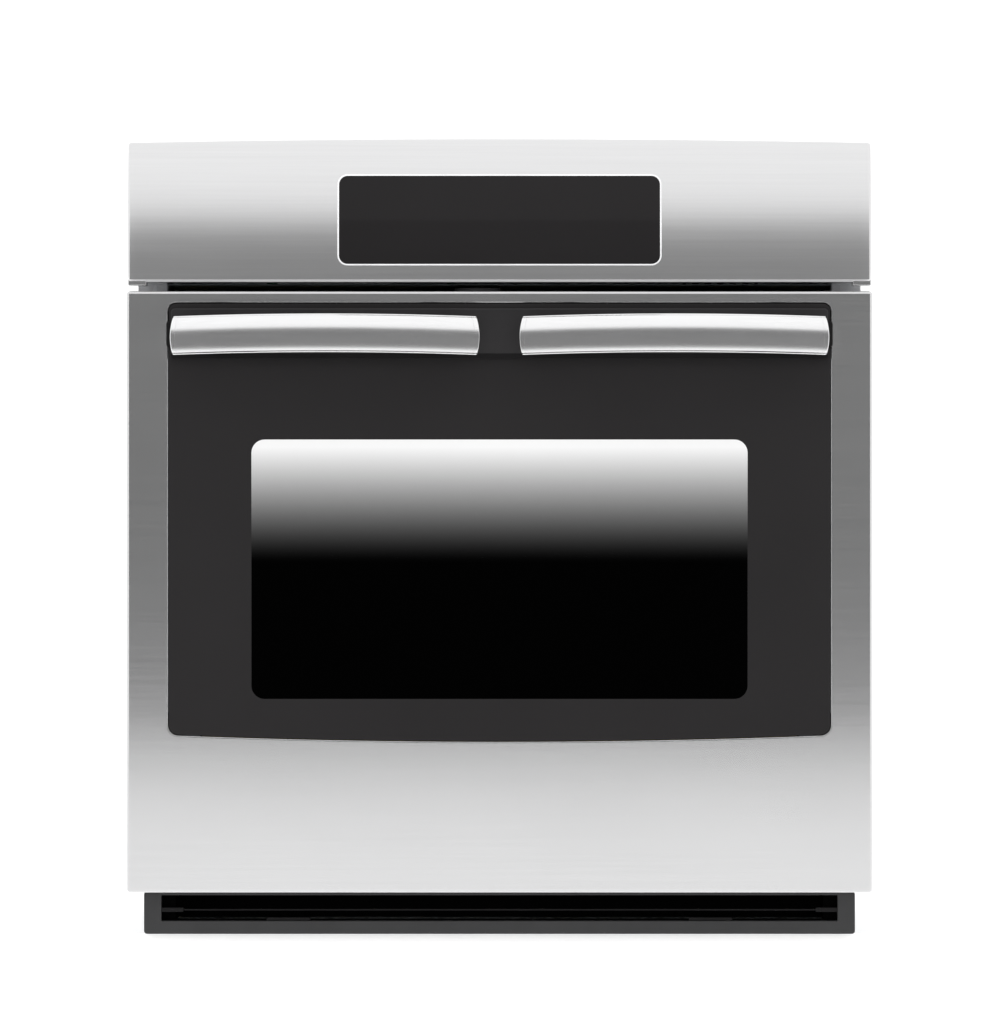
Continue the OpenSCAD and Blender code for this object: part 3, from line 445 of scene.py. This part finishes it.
def finish_node(name, material, bevel):
    """Keeps a CAD node: its facets are merged, its edges rounded, and its material replaced."""
    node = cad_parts[name]
    weld = node.modifiers.new("weld", "WELD")
    weld.merge_threshold = WELD
    flat = node.modifiers.new("flat", "DECIMATE")
    flat.decimate_type = "DISSOLVE"
    flat.angle_limit = math.radians(FLAT_DEGREES)
    if bevel:
        edge = node.modifiers.new("edge", "BEVEL")
        edge.width = bevel
        edge.segments = 2
        edge.limit_method = "ANGLE"
        edge.angle_limit = math.radians(ROUND_DEGREES)
    node.data.materials.clear()
    node.data.materials.append(material)
    node.data.polygons.foreach_set("use_smooth", [True] * len(node.data.polygons))
    smooth = node.modifiers.new("smooth", "WEIGHTED_NORMAL")
    smooth.keep_sharp = True


# ---------- finishes ----------

STEEL = brushed_steel("brushed_stainless", (0.77, 0.77, 0.775), 0.24, grain=0.6)
# lighter copies of the door's stainless: their grain and roughness are their own finishes, their raised
# brightness is painted light
BRIGHTENED_PANEL_STEEL = brushed_steel("brushed_panel_lightened", (0.83, 0.83, 0.835), 0.29, grain=0.2)
BRIGHTENED_GRIP_STEEL = brushed_steel("brushed_grip_lightened", (0.96, 0.96, 0.965), 0.22, grain=0.3)
ZINC = zinc_sheet("galvanised_sheet", (0.52, 0.54, 0.56))
# a lighter copy of the galvanised sheet for the mounting rails, which stand in shade: painted light
LIGHTENED_ZINC = zinc_sheet("lightened_rail_zinc", (0.84, 0.84, 0.86))
BRIGHT_LINE = satin_paint("bright_trim", (0.78, 0.78, 0.79), 0.3)
ENAMEL = enamel("speckled_enamel")
CHROME = chrome_wire("chrome_wire")
TRIM = satin_paint("trim_paint", (0.034, 0.034, 0.035), 0.5, specular=0.3)
BLACK = satin_paint("black_paint", (0.007, 0.0065, 0.007), 0.45, specular=0.15)
# near-black, barely reflecting paint for the duct behind the vent: painted shade deep in the opening
SHADE_BLACK = satin_paint("duct_painted_shade", (0.0015, 0.0015, 0.0015), 0.8, specular=0.03)
RAIL_PAINT = satin_paint("rail_paint", (0.024, 0.023, 0.024), 0.35, specular=0.15)
PLASTIC = satin_paint("black_plastic", (0.018, 0.018, 0.019), 0.55, grain=0.05)
LAMINATED = satin_paint("motor_steel", (0.12, 0.12, 0.125), 0.5, grain=0.06)
GLASS_BLACK = black_glass("black_glass", (0.0215, 0.0205, 0.021), specular=0.06)
DISPLAY_BLACK = black_glass("display_glass", (0.0165, 0.0155, 0.016), specular=0.06)
CLEAR = clear_glass("clear_glass")
BRAID = woven_braid("gasket_braid")
WOOL = glass_wool("glass_wool")
SHEATH = element_sheath("element_sheath")
BOARD = board_lacquer("board_lacquer")


# ---------- the front ----------

skin_lo, skin_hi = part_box("door_skin")
glass_lo, glass_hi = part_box("door_glass")
panel_lo, panel_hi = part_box("control_fascia")

GLASS_SAG = 6 * MM
GLASS_TOP_R = 7 * MM
GLASS_FOOT_R = 9 * MM
GLASS_GAP = 0.5 * MM  # between the glass and the steel round it
SKIN_R = 3.2 * MM  # the door's corners
SKIN_EDGE = 2.6 * MM  # the round of its outer edge
SKIN_LIP = 1.1 * MM  # the round of its opening's edge
WINDOW_R = 12 * MM


def glass_outline(grow):
    return bowed_outline(glass_lo.x, glass_hi.x, glass_lo.z, glass_hi.z,
                         GLASS_TOP_R, GLASS_FOOT_R, GLASS_SAG, grow)


def door_front():
    """The door's stainless skin, with its opening turned in round the glass."""
    def outer(grow):
        return rounded_outline(skin_lo.x, skin_hi.x, skin_lo.z, skin_hi.z, SKIN_R, grow)

    def opening(grow):
        return glass_outline(GLASS_GAP + grow)

    data = bmesh.new()
    back = skin_hi.y
    front = skin_lo.y
    inside = [at_depth(outer(-SHEET), back), at_depth(outer(-SHEET), front + SHEET)]
    rings = list(reversed(inside)) + plate_rings(outer, front, back, SKIN_EDGE)
    rings += list(reversed(plate_rings(opening, front, front + SHEET, SKIN_LIP, outward=False)))
    loft(data, rings + [rings[0]])
    bmesh.ops.remove_doubles(data, verts=data.verts, dist=1e-7)
    new_piece("door_skin_fine", data, "door", STEEL, slot="stainless", replaces=["door_skin"])


def window_box():
    """The clear window in the printed mask, as x and z limits."""
    side = 40 * MM  # the mask's outer edges lie within these margins, and the window's lie inside them
    rim = 20 * MM
    points = [v.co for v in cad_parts["glass_mask"].data.vertices]
    inner = [p for p in points
             if abs(p.x) < glass_hi.x - side and glass_lo.z + rim < p.z < glass_hi.z - rim]
    xs = [p.x for p in inner]
    zs = [p.z for p in inner]
    return min(xs), max(xs), min(zs), max(zs)


def door_glass():
    """The outer glass: black border and a window with a reflection painted into its colour."""
    x0, x1, z0, z1 = window_box()

    def window(grow):
        return rounded_outline(x0, x1, z0, z1, WINDOW_R, grow)

    data = bmesh.new()
    rings = plate_rings(glass_outline, glass_lo.y, glass_hi.y, 0.8 * MM)
    rings.append(at_depth(window(0.0), glass_lo.y))
    rows = loft(data, rings, cap_first=True)
    pane = data.faces.new(list(reversed(rows[-1])))
    pane.material_index = 1
    # the window's own material paints a reflection into its colour by height
    reflection_paint = painted_window_reflection("window_reflection_paint", z0, z1)
    new_piece("door_glass_fine", data, "door", [GLASS_BLACK, reflection_paint],
              slot="black_glass", replaces=["door_glass", "glass_mask"])


def panel_curve():
    """The control panel's section: the middle and radius of the arc that its face follows."""
    rise = panel_hi.z - panel_lo.z
    radius = (rise**2 + PANEL_LEAN**2) / (2 * PANEL_LEAN)
    return panel_lo.y + radius, radius


PANEL_LEAN = 26 * MM  # how far its top edge lies behind its foot
PANEL_CROWN = 3.5 * MM  # how much higher its top edge is in the middle
PANEL_EDGE = 2.3 * MM
PANEL_Y, PANEL_R = panel_curve()


def panel_face_y(z, below=0.0):
    """The depth of the panel's face at a height, less a thickness."""
    return PANEL_Y - math.sqrt((PANEL_R - below) ** 2 - (z - panel_lo.z) ** 2)


def crown_z(x):
    """The height of the panel's crowned top edge."""
    half = panel_hi.x
    radius = (half**2 + PANEL_CROWN**2) / (2 * PANEL_CROWN)
    return panel_hi.z - radius + math.sqrt(radius**2 - x**2)


def control_fascia():
    """The curved stainless panel, with hemmed edges, drawn as one skin over the crowned section."""
    edge = PANEL_EDGE
    columns = 64
    rows = 40
    back = panel_hi.y
    data = bmesh.new()
    rings = []
    half = panel_hi.x
    end = [-half + inset for inset, _ in edge_round(edge)]
    stations = end + [-half + edge + (2 * half - 2 * edge) * i / columns for i in range(1, columns)]
    stations += [-x for x in reversed(end)]
    for x in stations:
        sunk = edge - math.sqrt(max(edge**2 - max(0.0, abs(x) - half + edge) ** 2, 0.0))
        top = crown_z(x) - sunk
        foot = panel_lo.z + sunk
        section = [(back, foot), (panel_face_y(foot, sunk) + edge, foot)]
        for i in range(rows + 1):
            z = foot + edge + (top - foot - 2 * edge) * i / rows
            section.append((panel_face_y(z, sunk), z))
        brow = panel_face_y(top, sunk)
        section += [(brow + 0.35 * edge, top - 0.35 * edge), (brow + 1.1 * edge, top), (back, top)]
        rings.append([Vector((x, y, z)) for y, z in section])
    loft(data, rings, closed=False)
    new_piece("control_fascia_fine", data, "case", BRIGHTENED_PANEL_STEEL, slot="stainless", replaces=["control_fascia"])


FACE_RINGS = 12


def curved_plate(name, outline, proud, radius, depth, material, slot, replaces):
    """A plate that follows the panel's curve: a grid face inside an outline, with a rounded edge."""
    data = bmesh.new()

    def onto(points, above):
        return [Vector((x, panel_face_y(z, -above), z)) for x, z in points]

    rings = [onto(outline(0.0), -depth)]
    for inset, drop in edge_round(radius):
        rings.append(onto(outline(-inset), proud - drop))
    inner = outline(-radius - SUPPORT)
    rings.append(onto(inner, proud))
    middle_x = sum(x for x, _ in inner) / len(inner)
    middle_z = sum(z for _, z in inner) / len(inner)
    for k in range(1, FACE_RINGS):
        t = 1 - k / FACE_RINGS
        shrunk = [(middle_x + (x - middle_x) * t, middle_z + (z - middle_z) * t) for x, z in inner]
        rings.append(onto(shrunk, proud))
    loft(data, rings, cap_last=True)
    new_piece(name, data, "case", material, slot=slot, replaces=replaces)


def display():
    """The touch glass and the bright trim round it."""
    lo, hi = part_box("display_glass")
    trim_lo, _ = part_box("display_trim")
    corner = 8 * MM
    edge = 0.5 * MM
    trim_w = lo.x - trim_lo.x

    def glass(grow):
        return rounded_outline(lo.x, hi.x, lo.z, hi.z, corner, grow)

    curved_plate("display_glass_fine", glass, 0.7 * MM, edge, 1.5 * MM, DISPLAY_BLACK, "black_glass",
                 ["display_glass"])

    def trim(grow):
        return glass(trim_w + grow)

    curved_plate("display_trim_fine", trim, 0.5 * MM, edge, 1.2 * MM, BRIGHT_LINE, "chrome_wire",
                 ["display_trim"])


# ---------- grips ----------

FACE_STEPS = 12  # across half of a grip's face
LENGTH_STEPS = 56
GRIP_T = 17 * MM
GRIP_CORNER = 3.6 * MM
ARCH = 2.4 * MM  # how much higher a grip's middle is than its ends
NOSE_R = 35.4 * MM  # the face's round from top to bottom
NOSE_DROP = 3.9 * MM  # how far below the middle the face stands furthest out
GROOVE = 0.05 * MM  # the hairline between a grip and its end caps
CAP_W = 4.5 * MM
CAP_ROUND = 0.8 * MM
END_BULGE = 2 * MM  # how far an end's middle stands out past its corners


def grip_section(height, depth, inset):
    """A grip's section: bowed front, round shoulders and flat back, as (depth behind its front, height)."""
    half = height / 2 - inset
    corner = GRIP_CORNER - inset
    fall = 0.45 * corner  # the shoulder's round turns quickly from the face
    shoulder = half - fall
    back = depth - inset

    def face_y(z):
        return inset + NOSE_R - math.sqrt(NOSE_R**2 - (z + NOSE_DROP) ** 2)

    def turned(sign):
        points = []
        for i in range(1, 5):
            t = math.pi / 2 * i / 4
            points.append((face_y(sign * shoulder) + 0.9 * corner * math.sin(t),
                           sign * (half - fall * math.cos(t) ** 1.5)))
        for i in range(6):
            t = math.pi / 2 * i / 5
            height_there = half - corner + corner * math.cos(t)
            points.append((back - corner + corner * math.sin(t), sign * height_there))
        return points

    heights = [shoulder * (1 - i / FACE_STEPS) for i in range(2 * FACE_STEPS + 1)]
    return [(face_y(z), z) for z in heights] + turned(-1) + list(reversed(turned(1)))


def grip(side):
    """One bowed grip with its two end caps. side is 'left' or 'right'."""
    lo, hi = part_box(side + "_handle")
    _, cap_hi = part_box("handle_end_caps")
    middle = (lo.x + hi.x) / 2
    half = (hi.x - lo.x) / 2
    sag = hi.y - lo.y - GRIP_T
    radius = (half**2 + sag**2) / (2 * sag)
    height = hi.z - lo.z
    mid_z = (lo.z + hi.z) / 2
    end_turn = math.asin((cap_hi.x - abs(middle)) / radius)
    cap_turn = end_turn - CAP_W / radius
    seam = GROOVE / radius
    support = SUPPORT / radius

    def ring(angle, inset=0.0):
        """The section at an angle round the bow, drawn back towards its upper and lower edges at the ends."""
        points = []
        share = angle / end_turn
        for y, z in grip_section(height, GRIP_T, inset):
            turned = angle - END_BULGE / radius * share * (2 * z / height) ** 2
            out = radius - y
            points.append(Vector((middle + out * math.sin(turned), lo.y + radius - out * math.cos(turned),
                                  mid_z + z + ARCH * (0.25 - share**2))))
        return points

    data = bmesh.new()
    body_turn = cap_turn - seam
    rim = body_turn - seam
    face = rim - support
    stations = [-rim] + [face * (2 * i / LENGTH_STEPS - 1) for i in range(LENGTH_STEPS + 1)] + [rim]
    rings = [ring(-body_turn, GROOVE)] + [ring(angle) for angle in stations] + [ring(body_turn, GROOVE)]
    loft(data, rings, cap_first=True, cap_last=True)
    new_piece(side + "_handle_fine", data, "door", BRIGHTENED_GRIP_STEEL, slot="stainless", replaces=[side + "_handle"])

    for end, tag in ((-1, "a"), (1, "b")):
        data = bmesh.new()
        cap_rim = cap_turn + 1.5 * seam
        rings = [ring(end * (cap_turn + 0.5 * seam), GROOVE), ring(end * cap_rim),
                 ring(end * (cap_rim + support)), ring(end * (end_turn - CAP_ROUND / radius - support))]
        for inset, drop in reversed(edge_round(CAP_ROUND, steps=5)):
            rings.append(ring(end * (end_turn - inset / radius), drop))
        loft(data, rings, cap_first=True, cap_last=True)
        used = ["handle_end_caps"] if side == "right" else []
        new_piece(f"{side}_end_cap_{tag}", data, "door", BRIGHTENED_GRIP_STEEL, slot="stainless", replaces=used)


def handle_rail():
    """The dark rail behind the grips, with its rounded ends just past the glass and a darker strip along its
    foot as painted shade.
    """
    lo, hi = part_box("handle_rail")
    grip_lo, grip_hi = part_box("left_handle")
    ear = 4 * MM
    tongue = 12 * MM
    mid_z = (grip_lo.z + grip_hi.z) / 2

    def outline(grow):
        return rounded_outline(lo.x + ear, hi.x - ear, lo.z, hi.z, 4 * MM, grow)

    solid_plate("handle_rail_fine", outline, lo.y + 0.4 * MM, hi.y, 1.2 * MM, "door", RAIL_PAINT,
                slot="black_paint", replaces=["handle_rail"])

    # a black strip along the rail's foot, darker than the rail: painted shade under it
    def lip(grow):
        return rounded_outline(lo.x + ear, hi.x - ear, lo.z, lo.z + 5 * MM, 1.5 * MM, grow)

    solid_plate("handle_rail_shade_strip", lip, lo.y, lo.y + 1.5 * MM, 0.6 * MM, "door", BLACK, slot="black_paint")
    for side, x0, x1 in (("left", lo.x, lo.x + 3 * ear), ("right", hi.x - 3 * ear, hi.x)):
        def ear_outline(grow, x0=x0, x1=x1):
            return rounded_outline(x0, x1, mid_z - tongue, mid_z + tongue, 3 * MM, grow)
        solid_plate(f"rail_ear_{side}", ear_outline, lo.y + 1 * MM, hi.y, 0.9 * MM, "door", BLACK,
                    slot="black_paint")


VENT_FRAME = 16 * MM  # how deep the frame round the air opening is


def vent_trim():
    """The dark frame round the air opening, with rounded edges, and the shallow duct behind it, painted near
    black as the shade inside the opening.
    """
    lo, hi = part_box("vent_trim")
    base_lo, base_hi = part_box("case_base")
    side = 16 * MM  # the frame's widths at the sides, below and above the opening
    sill = 12 * MM
    head = 3.5 * MM
    frame_back = lo.y + VENT_FRAME
    open_x = hi.x - side
    duct_x = base_hi.x - 7 * MM
    duct_z0 = base_lo.z + 1.5 * MM
    duct_z1 = hi.z - 0.5 * MM
    lap = 1 * MM  # how far the duct's front flanges reach behind the frame

    def outer(grow):
        return rounded_outline(lo.x, hi.x, lo.z, hi.z, 3 * MM, grow)

    def opening(grow):
        return rounded_outline(-open_x, open_x, lo.z + sill, hi.z - head, 0.8 * MM, grow)

    def duct_plate(tag, x0, x1, z0, z1, front, back):
        def outline(grow):
            return rounded_outline(x0, x1, z0, z1, 0.5 * MM, grow)
        solid_plate(f"vent_{tag}", outline, front, back, 0.2 * MM, "case", SHADE_BLACK, slot="black_paint")

    ring_plate("vent_trim_fine", outer, opening, lo.y, frame_back, 0.9 * MM, 0.6 * MM, "case", TRIM,
               slot="trim_paint", replaces=["vent_trim"])
    cheek_x = duct_x - SHEET
    flange_x = open_x + lap
    flange_front = frame_back - SHEET
    # the duct is a real air path, and its near-black paint is painted shade seen through the vent
    duct_plate("duct_back", -duct_x, duct_x, duct_z0, duct_z1, hi.y - SHEET, hi.y)
    duct_plate("duct_cheek_left", -duct_x, -cheek_x, duct_z0, duct_z1, flange_front, hi.y)
    duct_plate("duct_cheek_right", cheek_x, duct_x, duct_z0, duct_z1, flange_front, hi.y)
    duct_plate("flange_left", -flange_x, -cheek_x, duct_z0, duct_z1, flange_front, frame_back)
    duct_plate("flange_right", cheek_x, flange_x, duct_z0, duct_z1, flange_front, frame_back)
    duct_plate("duct_foot", -flange_x, flange_x, lo.z + sill - lap, duct_z0, flange_front, frame_back)


door_front()
door_glass()
control_fascia()
display()
grip("left")
grip("right")
handle_rail()
vent_trim()


# ---------- carried-over nodes ----------

FINISHES = [
    (ZINC, "galvanised", BEVEL, ["case_base", "left_side_panel", "right_side_panel", "top_cover",
                                 "rear_cover", "base_runners", "lamp_housing", "panel_backplate",
                                 "compartment_floor", "blower_housing", "conduit_gland", "hinge_arms",
                                 "hinge_receivers", "glass_retainers", "window_frame", "hinge_channels"]),
    # the mounting rails' zinc is lightened to paint light into their shade
    (LIGHTENED_ZINC, "galvanised", BEVEL, ["mounting_rails"]),
    (ENAMEL, "enamel", BEVEL, ["front_frame", "cavity_liner", "door_liner"]),
    (WOOL, "wool", 0, ["cavity_insulation", "door_insulation"]),
    (BRAID, "gasket_braid", 2 * MM, ["door_gasket"]),
    (SHEATH, "element_sheath", 0, ["bake_element", "broil_element"]),
    (CLEAR, "clear_glass", 0, ["lamp_bulb", "lamp_cover", "inner_panes"]),
    (CHROME, "chrome_wire", 0, ["temperature_sensor", "rack_guides", "upper_rack", "lower_rack"]),
    (CHROME, "screw_steel", 0.3 * MM, ["case_screws", "door_screws", "latch_hook", "switch_plunger",
                                       "hinge_pins"]),
    (CHROME, "screw_steel", 0, ["hinge_springs"]),
    (BLACK, "black_paint", 0.3 * MM, ["vent_blade"]),
    (TRIM, "trim_paint", 0.3 * MM, ["blower_wheel"]),
    (STEEL, "stainless", 0.8 * MM, ["panel_end_caps"]),
    (PLASTIC, "black_plastic", 0.6 * MM, ["display_board", "light_switch", "thermal_cutout",
                                          "terminal_block"]),
    (LAMINATED, "motor_steel", BEVEL, ["blower_motor", "latch_motor"]),
    (BOARD, "board", 0.3 * MM, ["relay_board"]),
    (BLACK, "black_paint", 0.6 * MM, ["handle_posts"]),
]
for finish, slot_name, edge_width, names in FINISHES:
    for node_name in names:
        finish_node(node_name, finish, edge_width)


# ---------- studio ----------

DOOR_FRONT = skin_lo.y
CAMERA_DISTANCE = 10.0
CAMERA_X = -0.0073
CAMERA_Z = 0.3863
VIEW_HEIGHT = 0.9328
SENSOR_MM = 36
STEP = 0.06  # the open door's handles hang below the oven's foot
STEP_GAP = 0.004  # from the vent trim's back to the step
FAR = 12.0
CARD_GAP = 0.7  # from the door to the dark card
CARD_HALF = 0.80  # its half width, then the heights of its foot and top
CARD_FOOT = 0.155
CARD_TOP = 0.915
CARD_LIFT = 0.004  # keeps the pale card off the floor
PALE_REACH = 4.0


def stage_mesh(name, points, faces, material):
    """A floor, card or block of the studio."""
    mesh = bpy.data.meshes.new(name)
    mesh.from_pydata(points, [], faces)
    mesh.materials.append(material)
    made = bpy.data.objects.new(name, mesh)
    bpy.context.scene.collection.objects.link(made)
    return made


def plain(name, grey, glow):
    """A matte studio surface with a faint tooth."""
    mat = Material(name, (grey,) * 3, 0.9, Specular_IOR_Level=0.1, Emission_Strength=glow)
    mat.set("Emission Color", (1, 1, 1, 1))
    mat.bump(mat.noise((200, 200, 200)), 0.05 * MM)
    return mat.data


def glowing(name, level):
    """A soft light card of one brightness."""
    mat = Material(name, (0, 0, 0), 1.0, Specular_IOR_Level=0.0, Emission_Strength=level)
    mat.set("Emission Color", (1, 1, 1, 1))
    return mat.data


def area_light(name, at, aim, size, power):
    """A soft light panel that points at a place and leaves no reflection of itself."""
    lamp = bpy.data.lights.new(name, "AREA")
    lamp.shape = "RECTANGLE"
    lamp.size, lamp.size_y = size
    lamp.energy = power
    made = bpy.data.objects.new(name, lamp)
    made.location = at
    made.rotation_euler = (Vector(aim) - Vector(at)).to_track_quat("-Z", "Y").to_euler()
    made.visible_camera = False
    made.visible_glossy = False
    bpy.context.scene.collection.objects.link(made)


def sweep():
    """A white floor in front, a step up that the oven stands on, and a curve up to the wall behind."""
    step_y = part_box("vent_trim")[0].y + VENT_FRAME + STEP_GAP
    curve_r = 3.0
    curve_steps = 16
    wall_top = 8.0
    profile = [(-FAR, -STEP), (step_y, -STEP), (step_y, 0.0), (FAR - curve_r, 0.0)]
    for i in range(1, curve_steps + 1):
        t = math.pi / 2 * i / curve_steps
        profile.append((FAR - curve_r + curve_r * math.sin(t), curve_r - curve_r * math.cos(t)))
    profile.append((FAR, wall_top))
    points = [(x, y, z) for y, z in profile for x in (-FAR, FAR)]
    faces = [(2 * i, 2 * i + 1, 2 * i + 3, 2 * i + 2) for i in range(len(profile) - 1)]
    stage_mesh("sweep", points, faces, plain("sweep_white", 0.80, 0.30))


def mirror_card(name, corners, level):
    """A card that only mirrors see."""
    card = stage_mesh(name, corners, [(0, 1, 2, 3)], glowing(name, level))
    card.visible_camera = False
    card.visible_shadow = False
    card.visible_diffuse = False
    card.visible_transmission = False


def cards():
    """A dark card close in front, for the steel's upright faces, and a pale one on the floor before it."""
    y = DOOR_FRONT - CARD_GAP
    mirror_card("dark_card", [(-CARD_HALF, y, CARD_FOOT), (CARD_HALF, y, CARD_FOOT),
                              (CARD_HALF, y, CARD_TOP), (-CARD_HALF, y, CARD_TOP)], 0.18)
    floor = CARD_LIFT - STEP
    near, far = DOOR_FRONT, DOOR_FRONT - PALE_REACH
    mirror_card("floor_card", [(-PALE_REACH, far, floor), (PALE_REACH, far, floor),
                               (PALE_REACH, near, floor), (-PALE_REACH, near, floor)], 1.03)


def studio():
    """Everything round the oven: floor, cards, two soft lights and a white surround."""
    sweep()
    cards()
    middle = (0, 0, 0.35)
    area_light("overhead", (0, -1.0, 3.2), middle, (6.0, 3.0), 50)
    area_light("front_fill", (0, -5.0, 1.4), middle, (4.0, 1.6), 36)

    world = bpy.data.worlds.new("studio_world")
    world.use_nodes = True
    world.node_tree.nodes["Background"].inputs["Color"].default_value = (1, 1, 1, 1)
    world.node_tree.nodes["Background"].inputs["Strength"].default_value = 1.0
    bpy.context.scene.world = world
    bpy.context.scene.view_settings.view_transform = "Standard"
    bpy.context.scene.view_settings.look = "None"


def camera():
    """The photograph's view: straight on, level with the middle of the door."""
    lens = bpy.data.cameras.new("camera")
    lens.sensor_width = SENSOR_MM
    lens.lens = SENSOR_MM * CAMERA_DISTANCE / VIEW_HEIGHT
    lens.clip_end = 60
    made = bpy.data.objects.new("camera", lens)
    made.location = (CAMERA_X, DOOR_FRONT - CAMERA_DISTANCE, CAMERA_Z)
    made.rotation_euler = (math.pi / 2, 0, 0)
    bpy.context.scene.collection.objects.link(made)
    bpy.context.scene.camera = made


studio()
camera()
